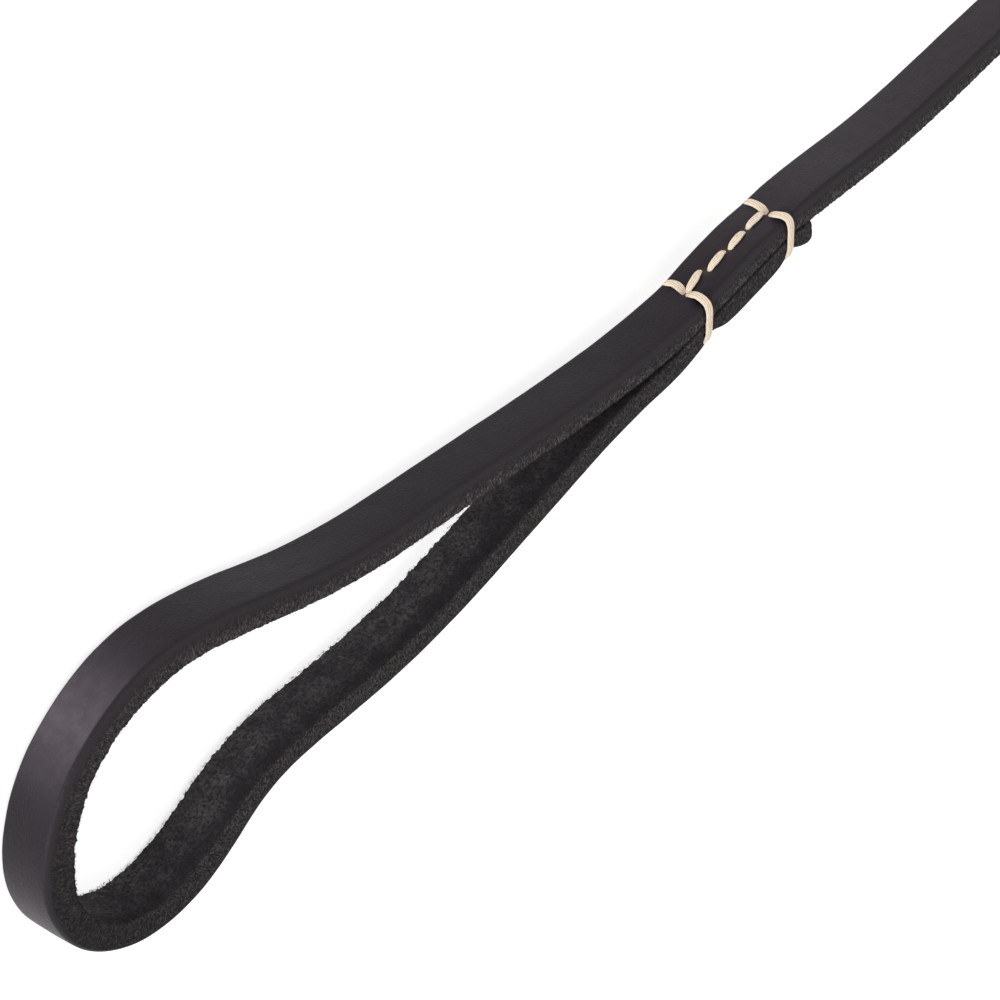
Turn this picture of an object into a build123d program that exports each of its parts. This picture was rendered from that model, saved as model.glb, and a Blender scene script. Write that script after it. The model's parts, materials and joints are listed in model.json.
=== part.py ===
"""Riding crop with a stitched leather wrist strap, lying on a flat floor.

Millimetres, +Z up.  The origin is the centre of the grip, on the crop's axis.
+X runs towards the butt, where the wrist strap leaves the cap; the keeper is at -X.
The crop rests on the rim of its cap and the end of its keeper, so its axis is
pitched by a little under one degree; the wrist strap stands on its cut edge.
"""
from build123d import *
import math
import os

# Driving dimensions ------------------------------------------------------------------
grip_length = 159.0
grip_radius = 9.5
grip_leather = 1.5
grip_groove_width = 4.6
grip_groove_depth = 0.8
seam_pitch = 5.0
seam_thread_radius = 0.42

collar_fore_radius = 12.0
collar_fore_reach = 12.0       # how far it runs down over the shaft
collar_fore_grip_reach = 6.0   # how far it runs up over the grip
collar_butt_radius = 11.8
collar_butt_length = 11.0

cap_length = 18.0
cap_radius = 12.0
cap_back_radius = 10.5
cap_face_radius = 8.5
cap_crown = 7.0                # from the face back to the cap's widest ring
cap_socket_depth = 5.0

ferrule_length = 5.0
ferrule_wall = 1.3

shaft_tip_x = -452.0
shaft_tip_radius = 1.3
shaft_butt_radius = 3.2
cover_radius = 4.3
cover_parallel_length = 110.0
cover_tip_radius = 2.6
cover_tip_x = -432.0

keeper_hinge_x = -458.0
keeper_length = 95.0
keeper_width = 28.0
keeper_neck_width = 6.4
keeper_flare_length = 27.0
keeper_corner_radius = 6.0
leaf_thickness = 2.0
leaf_gap = 0.2
whipping_length = 28.5
whipping_radius = 3.4

strap_width = 10.0
strap_thickness = 3.8
slot_clearance = 0.3
hinge_gap = 0.3
strap_pinch = 0.32             # taken off each layer's half thickness under a binding
binding_neck_u = 93.0          # along the strap, from its hinge
binding_loop_u = 117.0
stitch_count = 4

rivet_radius = 1.5
rivet_head_radius = 3.0
rivet_head_height = 1.5
rivet_clearance = 0.05
thread_radius = 0.65

# Worked-out places along the crop's axis ---------------------------------------------
grip_butt_x = grip_length / 2
grip_fore_x = -grip_length / 2
cap_back_x = grip_butt_x
cap_face_x = cap_back_x + cap_length
cap_wide_x = cap_face_x - cap_crown
handle_radius = grip_radius - grip_leather
collar_butt_x = grip_butt_x - ferrule_length - 1
handle_butt_x = cap_back_x + cap_socket_depth
strap_half = strap_thickness / 2
strap_hinge_x = cap_face_x + strap_half + 2 * hinge_gap
rivet_x = (handle_butt_x + cap_face_x) / 2 + 0.5
rivet_seat_y = cap_radius - 0.9
keeper_half = leaf_thickness + leaf_gap / 2
keeper_end_x = keeper_hinge_x - keeper_length
bound_end_x = keeper_hinge_x + keeper_half + 2 * hinge_gap

# Rest on the floor -------------------------------------------------------------------
# The cap's widest ring and the far end of the lower leaf touch the same level floor.
rest_slope = math.atan((cap_radius - keeper_half) / (cap_wide_x - keeper_end_x))
floor_z = cap_wide_x * math.sin(rest_slope) - cap_radius * math.cos(rest_slope)
crop_place = Location((0, 0, 0), (0, -math.degrees(rest_slope), 0))

# The strap's middle line, seen from above, from its hinge round the loop and back to
# its free end, which is stitched to the neck.  x is along the strap, y across it.
strap_route = [
    (0, 0), (22, 0), (42, 0.3), (62, 0), (79, -1.7), (93, -2.5), (105, -2.05),
    (117, -0.95), (131, -1.3), (150, -4), (172, -8.2), (193, -12.4), (209, -17.6),
    (222, -22.9), (236, -24.8), (248, -21.1), (258.5, -12.6), (263.3, -1.8),
    (261, 7.6), (254.5, 12.9), (246, 14.2), (237, 12.1), (228, 8.5), (218, 7.5),
    (205, 8.8), (191, 9.3), (173, 7.8), (153, 5.2), (133, 3.6), (125, 3.5),
    (117, 2.5), (111, 2.4), (105, 2), (98, 1.4), (93, 0.9), (87.4, 1.6),
]
strap_free_end_tangent = (-0.99, 0.12)
strap_stretches = 16            # the ribbon's faces are drawn in this many smooth stretches
strap_far_u = max(point[0] for point in strap_route) + strap_half
hinge_height = strap_hinge_x * math.sin(rest_slope) - floor_z
strap_corner = math.hypot(strap_far_u, strap_width / 2)
strap_slope = math.asin(hinge_height / strap_corner) - math.atan2(strap_width / 2, strap_far_u)
strap_place = Location(
    (strap_hinge_x * math.cos(rest_slope), 0, strap_hinge_x * math.sin(rest_slope)),
    (0, math.degrees(strap_slope), 0),
)


def turned(points):
    """A solid of revolution about the X axis from (x, radius) points."""
    profile = make_face(Polyline(*[(x, 0, r) for x, r in points], close=True))
    return revolve(profile, Axis.X)


def rod(x_low, x_high, radius):
    """A round bar along X."""
    return turned([(x_low, 0), (x_high, 0), (x_high, radius), (x_low, radius)])


def cross_rod(x, z, radius, y_low, y_high):
    """A round bar along Y."""
    bar = Cylinder(radius, y_high - y_low, align=(Align.CENTER, Align.CENTER, Align.MIN))
    return Location((x, y_low, z), (-90, 0, 0)) * bar


def thread(start, end, radius=thread_radius):
    """A short straight stretch of thread with round ends."""
    path = Line(start, end)
    section = Plane(origin=start, z_dir=path % 0) * Circle(radius)
    return sweep(section, path) + Pos(*start) * Sphere(radius) + Pos(*end) * Sphere(radius)


def core_radius(x):
    """The tapered core's radius at a place along the axis."""
    along = (x - shaft_tip_x) / (grip_butt_x - shaft_tip_x)
    return shaft_tip_radius + along * (shaft_butt_radius - shaft_tip_radius)


# The shaft and its cover -------------------------------------------------------------
def make_shaft_core():
    butt_x = grip_butt_x - 3
    return turned([
        (shaft_tip_x, 0), (butt_x, 0), (butt_x, core_radius(butt_x)),
        (shaft_tip_x, shaft_tip_radius),
    ])


def make_shaft_cover():
    taper_x = grip_fore_x - cover_parallel_length
    return turned([
        (cover_tip_x, core_radius(cover_tip_x)), (grip_fore_x, core_radius(grip_fore_x)),
        (grip_fore_x, cover_radius), (taper_x, cover_radius), (cover_tip_x, cover_tip_radius),
    ])


# The handle --------------------------------------------------------------------------
def make_handle_core():
    blank = rod(grip_fore_x, handle_butt_x, handle_radius)
    return blank - make_shaft_core()


def grip_groove():
    """The sunk channel along the top of the grip that the seam stitches lie in."""
    depth = grip_groove_depth
    channel = Box(grip_length, grip_groove_width, 2 * depth)
    return Pos(0, 0, grip_radius) * channel


def make_grip_cover():
    sleeve = rod(grip_fore_x, grip_butt_x, grip_radius) - rod(grip_fore_x, grip_butt_x, handle_radius)
    return sleeve - grip_groove()


def make_grip_seam_stitches():
    """Slanting stitches across the butted seam, level with the leather or below it."""
    first_x = grip_fore_x + 2 * collar_fore_grip_reach
    last_x = collar_butt_x - collar_butt_length - 6
    count = int((last_x - first_x) / seam_pitch)
    length = 0.6 * seam_pitch
    half_span = 1.5
    z = grip_radius - grip_groove_depth + 0.25
    stitches = []
    for index in range(count):
        x = first_x + index * seam_pitch
        start = (x, -half_span, z)
        end = (x + length, half_span, z)
        stitches.append(thread(start, end, seam_thread_radius))
    return Compound(children=stitches)


def make_collar_fore():
    """A knotted leather collar over the grip's fore end, closing down on the shaft."""
    low_x = grip_fore_x - collar_fore_reach
    high_x = grip_fore_x + collar_fore_grip_reach
    crown = collar_fore_radius
    return turned([
        (low_x, cover_radius), (grip_fore_x, cover_radius), (grip_fore_x, grip_radius),
        (high_x, grip_radius), (high_x - 0.8, crown - 1.1), (high_x - 3.5, crown),
        (low_x + 10.5, crown), (low_x + 6.5, crown - 1.8), (low_x + 2.5, crown - 4.6),
        (low_x + 0.4, crown - 6.4),
    ])


def make_collar_butt():
    """A knotted leather collar round the grip, just ahead of the ferrule."""
    butt_x = collar_butt_x
    fore_x = butt_x - collar_butt_length
    crown = collar_butt_radius
    return turned([
        (fore_x, grip_radius), (butt_x, grip_radius), (butt_x - 0.6, crown - 0.9),
        (butt_x - 3, crown), (fore_x + 3, crown), (fore_x + 0.6, crown - 0.9),
    ])


def make_butt_ferrule():
    fore_x = grip_butt_x - ferrule_length
    outer = grip_radius + ferrule_wall
    return turned([
        (fore_x, grip_radius), (grip_butt_x, grip_radius), (grip_butt_x, outer - 0.3),
        (grip_butt_x - 0.3, outer), (fore_x + 0.5, outer), (fore_x, outer - 0.5),
    ])


# The cap, its rivet and the strap's fixed end ----------------------------------------
def rivet_seats():
    """Flat seats on both sides of the cap for the rivet's heads."""
    side = cross_rod(rivet_x, 0, rivet_head_radius + 0.3, rivet_seat_y, cap_radius + 2)
    return side + mirror(side, Plane.XZ)


def make_butt_cap():
    crown_mid = (cap_wide_x + 0.62 * cap_crown, 0, cap_radius - 0.9)
    back_edge_x = cap_back_x + 2
    back_edge_radius = cap_back_radius + 0.4
    outline = [
        Line((cap_face_x, 0, 0), (cap_face_x, 0, cap_face_radius)),
        ThreePointArc((cap_face_x, 0, cap_face_radius), crown_mid, (cap_wide_x, 0, cap_radius)),
        Line((cap_wide_x, 0, cap_radius), (back_edge_x, 0, back_edge_radius)),
        Line((back_edge_x, 0, back_edge_radius), (cap_back_x, 0, cap_back_radius)),
        Line((cap_back_x, 0, cap_back_radius), (cap_back_x, 0, handle_radius)),
        Line((cap_back_x, 0, handle_radius), (handle_butt_x, 0, handle_radius)),
        Line((handle_butt_x, 0, handle_radius), (handle_butt_x, 0, 0)),
        Line((handle_butt_x, 0, 0), (cap_face_x, 0, 0)),
    ]
    cap = revolve(make_face(outline), Axis.X)
    slot_depth = cap_face_x - handle_butt_x - 1
    slot = Box(
        slot_depth + 1, strap_thickness + 2 * slot_clearance, strap_width + 2 * slot_clearance,
        align=(Align.MIN, Align.CENTER, Align.CENTER),
    )
    cap -= Pos(cap_face_x - slot_depth, 0, 0) * slot
    cap -= cross_rod(rivet_x, 0, rivet_radius + rivet_clearance, -cap_radius, cap_radius)
    return cap - rivet_seats()


def make_strap_tail():
    """The strap's fixed end, riveted in the slot and ending just short of the free strap."""
    start_x = handle_butt_x + 2
    length = strap_hinge_x - strap_half - hinge_gap - start_x
    tail = Pos(start_x, 0, 0) * Box(
        length, strap_thickness, strap_width, align=(Align.MIN, Align.CENTER, Align.CENTER)
    )
    hole_radius = rivet_radius + rivet_clearance
    return tail - cross_rod(rivet_x, 0, hole_radius, -strap_thickness, strap_thickness)


def rivet_head():
    """A low domed head standing on the seat at +Y."""
    rise = rivet_head_height
    sphere_radius = (rivet_head_radius ** 2 + rise ** 2) / (2 * rise)
    dome = Pos(rivet_x, rivet_seat_y + rise - sphere_radius, 0) * Sphere(sphere_radius)
    return dome & cross_rod(rivet_x, 0, rivet_head_radius, rivet_seat_y, cap_radius + rise)


def make_rivet_post():
    shank = cross_rod(rivet_x, 0, rivet_radius, -rivet_seat_y, rivet_seat_y)
    return shank + mirror(rivet_head(), Plane.XZ)


# The wrist strap ---------------------------------------------------------------------
def half_thickness(x):
    """Half the strap's thickness: the layers are pulled thinner under each binding."""
    squeeze = 0.0
    for binding in (binding_neck_u, binding_loop_u):
        squeeze += math.exp(-((x - binding) / 4.5) ** 2)
    return strap_half - strap_pinch * min(squeeze, 1.0)


def strap_middle_line():
    return Spline(*strap_route, tangents=[(1, 0), strap_free_end_tangent])


def strap_face_point(along, side):
    """A point on one face of the ribbon; side is +1 on the left of the line, -1 on the right."""
    line = strap_middle_line()
    place = line @ along
    direction = line % along
    half = side * half_thickness(place.X)
    return (place.X - direction.Y * half, place.Y + direction.X * half)


def strap_face_stretch(start, end, side):
    """One smooth stretch of a face, between two fractions of the line's length."""
    line = strap_middle_line()
    steps = 4
    points = [
        strap_face_point(start + (end - start) * step / steps, side) for step in range(steps + 1)
    ]
    directions = [(direction.X, direction.Y) for direction in (line % start, line % end)]
    return Spline(*points, tangents=directions)


def strap_outline():
    """The ribbon's outline from above: both faces, the round hinge end, the cut end."""
    edges = [
        strap_face_stretch(index / strap_stretches, (index + 1) / strap_stretches, side)
        for side in (1, -1)
        for index in range(strap_stretches)
    ]
    edges.append(Line(strap_face_point(1, 1), strap_face_point(1, -1)))
    edges.append(ThreePointArc(
        strap_face_point(0, -1), (-half_thickness(0), 0), strap_face_point(0, 1)
    ))
    return edges


def make_wrist_strap():
    ribbon = make_face(strap_outline())
    return Pos(0, 0, -strap_width / 2) * extrude(ribbon, strap_width)


def pair_faces(u):
    """Where the two stitched layers' outer faces lie across the strap, at u."""
    cut = Axis((u, 0, 0), (0, 1, 0))
    crossings = sorted(point.Y for point in strap_middle_line().find_intersection_points(cut))
    half = half_thickness(u)
    return crossings[0] - half, crossings[-1] + half


def make_binding(u):
    """A thread ring drawn tight round both layers of the strap."""
    low_y, high_y = pair_faces(u)
    wall = 0.9
    middle_y = (low_y + high_y) / 2
    hole = Box(4, high_y - low_y, strap_width)
    ring = Box(2 * thread_radius + 0.2, high_y - low_y + 2 * wall, strap_width + 2 * wall)
    return Pos(u, middle_y, 0) * (ring - hole)


def make_saddle_stitches():
    """Slanting stitches on both faces, joined by the thread through each hole."""
    pitch = (binding_loop_u - binding_neck_u) / (stitch_count + 1)
    first_u = binding_neck_u + pitch / 2
    lean = 0.8
    rise = 0.15
    group = None
    for index in range(stitch_count):
        start = first_u + index * pitch + 0.25
        end = start + pitch - 0.5
        start_low, start_high = pair_faces(start)
        end_low, end_high = pair_faces(end)
        front = thread((start, start_low - rise, -lean), (end, end_low - rise, lean))
        back = thread((start, start_high + rise, -lean), (end, end_high + rise, lean))
        leg = cross_rod((start + end) / 2, 0, thread_radius * 0.8, start_low, start_high)
        stitch = front + back + leg
        group = stitch if group is None else group + stitch
    return group


# The keeper --------------------------------------------------------------------------
def keeper_outline():
    """A paddle: a narrow neck at the hinge, flaring to parallel sides and a rounded end."""
    neck = keeper_neck_width / 2
    wide = keeper_width / 2
    shoulder = wide - 1.5
    start_x = keeper_hinge_x + keeper_half
    neck_x = keeper_hinge_x - 2
    flare_mid_x = keeper_hinge_x - 14
    flare_x = keeper_hinge_x - keeper_flare_length
    side = [
        Line((start_x, neck), (neck_x, neck)),
        Bezier((neck_x, neck), (flare_mid_x, neck), (flare_mid_x, shoulder), (flare_x, shoulder)),
        Line((flare_x, shoulder), (keeper_end_x, wide)),
    ]
    other_side = [mirror(edge, Plane.XZ) for edge in side]
    ends = [
        Line((keeper_end_x, wide), (keeper_end_x, -wide)),
        Line((start_x, neck), (start_x, -neck)),
    ]
    face = make_face(side + other_side + ends)
    far_corners = face.vertices().group_by(Axis.X)[0]
    return fillet(far_corners, keeper_corner_radius)


def make_leaf(side):
    """One leaf of the keeper; side is +1 for the upper leaf and -1 for the lower."""
    low_z = leaf_gap / 2 if side > 0 else -keeper_half
    leaf = Pos(0, 0, low_z) * extrude(keeper_outline(), leaf_thickness)
    beyond_hinge = Pos(keeper_hinge_x, 0, 0) * Box(
        10, 20, 10, align=(Align.MIN, Align.CENTER, Align.CENTER)
    )
    return leaf - (beyond_hinge - cross_rod(keeper_hinge_x, 0, keeper_half, -12, 12))


def keeper_stitch_points():
    """Stitch holes: down one side, across the far end and back up the other side."""
    inset = 2.6
    half = keeper_width / 2 - inset
    far_x = keeper_end_x + inset
    near_x = keeper_hinge_x - keeper_flare_length
    near_y = keeper_width / 2 - 1.2 - inset
    side = Polyline((near_x, near_y), (far_x + 4, half), (far_x, half - 4),
                    (far_x, 4 - half), (far_x + 4, -half), (near_x, -near_y))
    count = 38
    return [side @ (index / count) for index in range(count + 1)]


def make_keeper_stitches():
    """A running row through both leaves, sunk level with the lower face."""
    holes = keeper_stitch_points()
    radius = 0.45
    bars = []
    for index, (start, end) in enumerate(zip(holes, holes[1:])):
        top = keeper_half if index % 2 == 0 else radius - keeper_half
        inward = (end - start) * 0.12
        first = start + inward
        last = end - inward
        bars.append(thread((first.X, first.Y, top), (last.X, last.Y, top), radius))
    return Compound(children=bars)


def make_keeper_tongue():
    """The leaves' bound ends, lying above and below the shaft under the whipping."""
    shell = turned([
        (bound_end_x, 0), (cover_tip_x, 0), (cover_tip_x, cover_tip_radius),
        (bound_end_x, cover_tip_radius),
    ])
    shell -= rod(bound_end_x - 1, cover_tip_x + 1, core_radius(cover_tip_x))
    width = 4.0
    length = cover_tip_x - bound_end_x
    middle = Pos((bound_end_x + cover_tip_x) / 2, 0, 0)
    band = middle * Box(length, width, 8)
    parting = middle * Box(length + 2, width + 2, 1.2)
    return (shell & band) - parting


def make_tip_whipping():
    """Waxed thread wound over the shaft's end and the keeper's tongues."""
    inner = cover_tip_radius
    end_x = bound_end_x + whipping_length
    step = 0.5
    return turned([
        (bound_end_x, inner), (end_x, inner + 0.05), (end_x, whipping_radius - step),
        (end_x - step, whipping_radius), (bound_end_x + step, whipping_radius),
        (bound_end_x, whipping_radius - step),
    ]) - make_shaft_cover()


crop_parts = {
    "shaft_core": make_shaft_core,
    "shaft_cover": make_shaft_cover,
    "handle_core": make_handle_core,
    "grip_cover": make_grip_cover,
    "grip_seam_stitches": make_grip_seam_stitches,
    "collar_fore": make_collar_fore,
    "collar_butt": make_collar_butt,
    "butt_ferrule": make_butt_ferrule,
    "butt_cap": make_butt_cap,
    "rivet_post": make_rivet_post,
    "rivet_cap": rivet_head,
    "strap_tail": make_strap_tail,
    "keeper_tongue": make_keeper_tongue,
    "tip_whipping": make_tip_whipping,
    "keeper_leaf_upper": lambda: make_leaf(1),
    "keeper_leaf_lower": lambda: make_leaf(-1),
    "keeper_stitches": make_keeper_stitches,
}
strap_parts = {
    "wrist_strap": make_wrist_strap,
    "binding_stitch_neck": lambda: make_binding(binding_neck_u),
    "binding_stitch_loop": lambda: make_binding(binding_loop_u),
    "saddle_stitches": make_saddle_stitches,
}

os.makedirs("parts", exist_ok=True)
for parts, place in ((crop_parts, crop_place), (strap_parts, strap_place)):
    for name, make in parts.items():
        export_step(place * make(), f"parts/{name}.step")

keeper_hinge = crop_place * Pos(keeper_hinge_x, 0, 0)
print("floor z", round(floor_z, 3), "crop slope", round(math.degrees(rest_slope), 4))
print("strap hinge", strap_place.position, "strap slope", round(math.degrees(strap_slope), 4))
print("keeper hinge", keeper_hinge.position)
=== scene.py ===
import json
import math
import random

import bpy
import numpy as np
from mathutils import Matrix, Vector, noise


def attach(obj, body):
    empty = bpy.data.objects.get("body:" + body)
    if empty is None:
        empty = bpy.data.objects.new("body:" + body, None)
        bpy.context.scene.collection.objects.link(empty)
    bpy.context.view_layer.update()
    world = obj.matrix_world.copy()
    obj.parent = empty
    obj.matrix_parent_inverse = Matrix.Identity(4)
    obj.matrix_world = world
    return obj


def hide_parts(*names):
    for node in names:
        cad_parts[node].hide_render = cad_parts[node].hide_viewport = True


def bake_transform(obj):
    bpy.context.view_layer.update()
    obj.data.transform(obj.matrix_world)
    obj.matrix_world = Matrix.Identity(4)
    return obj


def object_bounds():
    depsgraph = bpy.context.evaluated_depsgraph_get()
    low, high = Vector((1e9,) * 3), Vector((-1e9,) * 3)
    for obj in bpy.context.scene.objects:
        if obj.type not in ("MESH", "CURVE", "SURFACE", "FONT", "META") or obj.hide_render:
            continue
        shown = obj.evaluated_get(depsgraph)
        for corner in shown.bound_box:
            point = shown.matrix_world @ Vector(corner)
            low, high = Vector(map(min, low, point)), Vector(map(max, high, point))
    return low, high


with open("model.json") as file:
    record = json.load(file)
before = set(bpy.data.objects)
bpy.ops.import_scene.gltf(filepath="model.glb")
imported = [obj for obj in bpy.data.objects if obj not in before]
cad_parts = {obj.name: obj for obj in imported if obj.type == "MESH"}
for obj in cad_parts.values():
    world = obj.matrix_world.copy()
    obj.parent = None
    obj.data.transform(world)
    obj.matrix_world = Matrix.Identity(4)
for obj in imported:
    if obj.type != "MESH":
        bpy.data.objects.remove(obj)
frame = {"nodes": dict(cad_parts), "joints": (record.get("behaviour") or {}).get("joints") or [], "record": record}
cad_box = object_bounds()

# Lengths below are millimetres until a mesh is made. Two local frames are used:
# the crop's own, along its axis, and the wrist strap's, along its middle plane.
MM = 0.001

# ---- Places taken from the frame ----
joints = {joint["name"]: joint for joint in frame["joints"]}
mounts = {mount["name"]: mount for mount in frame["record"]["mounts"]}
floor_z = cad_box[0].z / MM

crop_axis = Vector(mounts["grip"]["axis"])
crop_slope = math.atan2(crop_axis.z, crop_axis.x)
crop_place = Matrix.Rotation(-crop_slope, 4, "Y")

strap_width = 10.0
strap_thickness = 3.8
strap_half = strap_thickness / 2
strap_hinge = Vector(joints["strap_swing"]["pos_m"]) / MM
strap_far_u = 263.3 + strap_half        # the loop's far end, whose lower edge is on the floor
hinge_height = strap_hinge.z - floor_z
strap_slope = (
    math.asin(hinge_height / math.hypot(strap_far_u, strap_width / 2))
    - math.atan2(strap_width / 2, strap_far_u)
)
strap_place = Matrix.Translation(strap_hinge) @ Matrix.Rotation(strap_slope, 4, "Y")

grip_radius = 9.5
sleeve_radius = grip_radius - 0.1
grip_fore_x = -79.5
grip_butt_x = 79.5
seam_pitch = 5.0
cap_face_x = 97.5
cap_wide_x = 90.5
rivet_x = 91.5
rivet_seat = 11.1
cover_radius = 4.3
cover_tip_radius = 2.6
cover_tip_x = -432.0
cover_taper_x = grip_fore_x - 110.0
keeper_hinge_x = -458.0
keeper_end_x = -553.0
keeper_half_width = 14.0
keeper_half = 2.1
leaf_gap = 0.2
keeper_stitch_inset = 2.6
bound_end_x = keeper_hinge_x + 2.7
whipping_end_x = bound_end_x + 28.5

# The strap's middle line in its own frame, the same route as the CAD model.
strap_route = [
    (0, 0), (22, 0), (42, 0.3), (62, 0), (79, -1.7), (93, -2.5), (105, -2.05),
    (117, -0.95), (131, -1.3), (150, -4), (172, -8.2), (193, -12.4), (209, -17.6),
    (222, -22.9), (236, -24.8), (248, -21.1), (258.5, -12.6), (263.3, -1.8),
    (261, 7.6), (254.5, 12.9), (246, 14.2), (237, 12.1), (228, 8.5), (218, 7.5),
    (205, 8.8), (191, 9.3), (173, 7.8), (153, 5.2), (133, 3.6), (125, 3.5),
    (117, 2.5), (111, 2.4), (105, 2), (98, 1.4), (93, 0.9), (87.4, 1.6),
]
strap_tail_length = 10.5        # the fixed end, back from the hinge into the cap's slot
# How far the worn leather stands outside its stock size: (place along the strap, amount).
pair_fullness = 0.50
grain_fullness = [
    (0, 0.30), (20, 0.50), (150, 0.50), (164, 0.32), (182, 0.30), (200, 0.08), (226, 0.05),
    (236, 0.35), (248, 0.55), (256, 0.75), (264, 0.55), (272, 0.25), (280, 0.10), (288, 0.30),
    (296, 0.62), (336, 0.58), (346, 0.35), (400, 0.45), (412, 0.50), (465, 0.50),
]
flesh_fullness = [
    (0, 0.0), (20, 0.15), (56, 0.20), (72, 0.38), (84, 0.30), (93, 0.0), (125, 0.0), (150, 0.35),
    (184, 0.70), (194, 0.92), (210, 1.0), (224, 1.12), (232, 0.70), (240, 0.55), (248, 0.05),
    (256, 0.0), (264, 0.60), (272, 1.30), (281, 1.0), (294, 0.45), (302, 0.42), (310, 0.48),
    (318, 0.0), (326, -0.45), (334, -0.25), (342, -0.05), (350, 0.20), (366, 0.10), (382, 0.40),
    (402, 0.15), (425, 0.0), (465, 0.0),
]
# The worn strap is this much wider each way and is raised as much, so its foot stays down.
edge_fullness = 0.12
strap_edge = strap_width / 2 + edge_fullness
# A binding pinches the pair this much, fading along the strap over this reach.
binding_pinch = 0.32
pinch_reach = 4.5
stitch_holes = [93.2, 98.8, 104.3, 109.8, 115.5]
stitch_row_z = 0.45
# Each stitch's ends: place along the strap and height at its neck end, then its loop end.
stitch_ends = [
    ((92.9, 0.1), (98.7, 0.5)), ((98.9, 0.5), (104.3, 1.1)),
    ((104.3, 0.5), (109.9, 0.95)), ((109.7, -0.6), (115.6, 0.65)),
]


# ---- Camera, light and floor ----
def camera_axes(azimuth, elevation, roll):
    """The camera's right, up and back directions in the strap's frame."""
    right = Vector((math.cos(azimuth), math.sin(azimuth), 0))
    up = Vector((
        -math.sin(azimuth) * math.sin(elevation),
        math.cos(azimuth) * math.sin(elevation),
        math.cos(elevation),
    ))
    back = right.cross(up)
    turned_right = right * math.cos(roll) - up * math.sin(roll)
    turned_up = right * math.sin(roll) + up * math.cos(roll)
    return turned_right, turned_up, back


def make_camera():
    """A long lens close over the loop, with the loop's plane 37 degrees below it."""
    distance = 397.0
    sensor = 36.0
    framed_width = 162.3
    right, up, back = camera_axes(math.radians(33.0), math.radians(36.8), math.radians(-115.7))
    target = Vector((165.0, 3.5, 0.0))
    local = Matrix((right, up, back)).transposed().to_4x4()
    local.translation = target + back * distance
    data = bpy.data.cameras.new("camera")
    data.sensor_width = sensor
    data.lens = sensor * distance / framed_width
    data.clip_start = 0.01
    camera = bpy.data.objects.new("camera", data)
    placed = strap_place @ local
    camera.matrix_world = Matrix.LocRotScale(placed.translation * MM, placed.to_quaternion(), None)
    bpy.context.scene.collection.objects.link(camera)
    bpy.context.scene.camera = camera


def make_light(name, direction, distance, size, power, aim):
    """A square soft box, aimed at a point; distances are metres."""
    data = bpy.data.lights.new(name, "AREA")
    data.size = size
    data.energy = power
    light = bpy.data.objects.new(name, data)
    towards = Vector(direction).normalized()
    light.location = Vector(aim) + towards * distance
    light.rotation_euler = towards.to_track_quat("Z", "Y").to_euler()
    bpy.context.scene.collection.objects.link(light)


def make_studio():
    """A pale room, an overhead soft box and a low one beyond the loop's bend."""
    world = bpy.data.worlds.new("studio")
    world.use_nodes = True
    background = world.node_tree.nodes["Background"]
    background.inputs["Color"].default_value = (1.0, 1.0, 1.0, 1.0)
    background.inputs["Strength"].default_value = 0.72
    bpy.context.scene.world = world
    bpy.context.scene.view_settings.view_transform = "Standard"
    middle = (0.22, 0.0, 0.0)
    make_light("overhead", (-0.15, -0.25, 1.0), 1.1, 1.4, 5.0, middle)
    make_light("low_side", (0.9, -0.30, 0.13), 0.9, 0.34, 5.0, middle)


def make_floor():
    """White paper that glows a little, so that it comes out as white as the background."""
    half = 4.0
    z = floor_z * MM
    corners = [(-half, -half, z), (half, -half, z), (half, half, z), (-half, half, z)]
    mesh = bpy.data.meshes.new("floor")
    mesh.from_pydata(corners, [], [(0, 1, 2, 3)])
    floor = bpy.data.objects.new("floor", mesh)
    bpy.context.scene.collection.objects.link(floor)
    mesh.materials.append(Surface("lit_floor_paper").shade({
        "Base Color": (0.48, 0.48, 0.48, 1.0),
        "Roughness": 0.9,
        "Emission Color": (1.0, 1.0, 1.0, 1.0),
        "Emission Strength": 0.72,
    }))


# ---- Materials ----
def opaque(colour):
    """An (r, g, b) with full alpha; a socket stays as it is."""
    return (*colour, 1.0) if isinstance(colour, tuple) else colour


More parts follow.
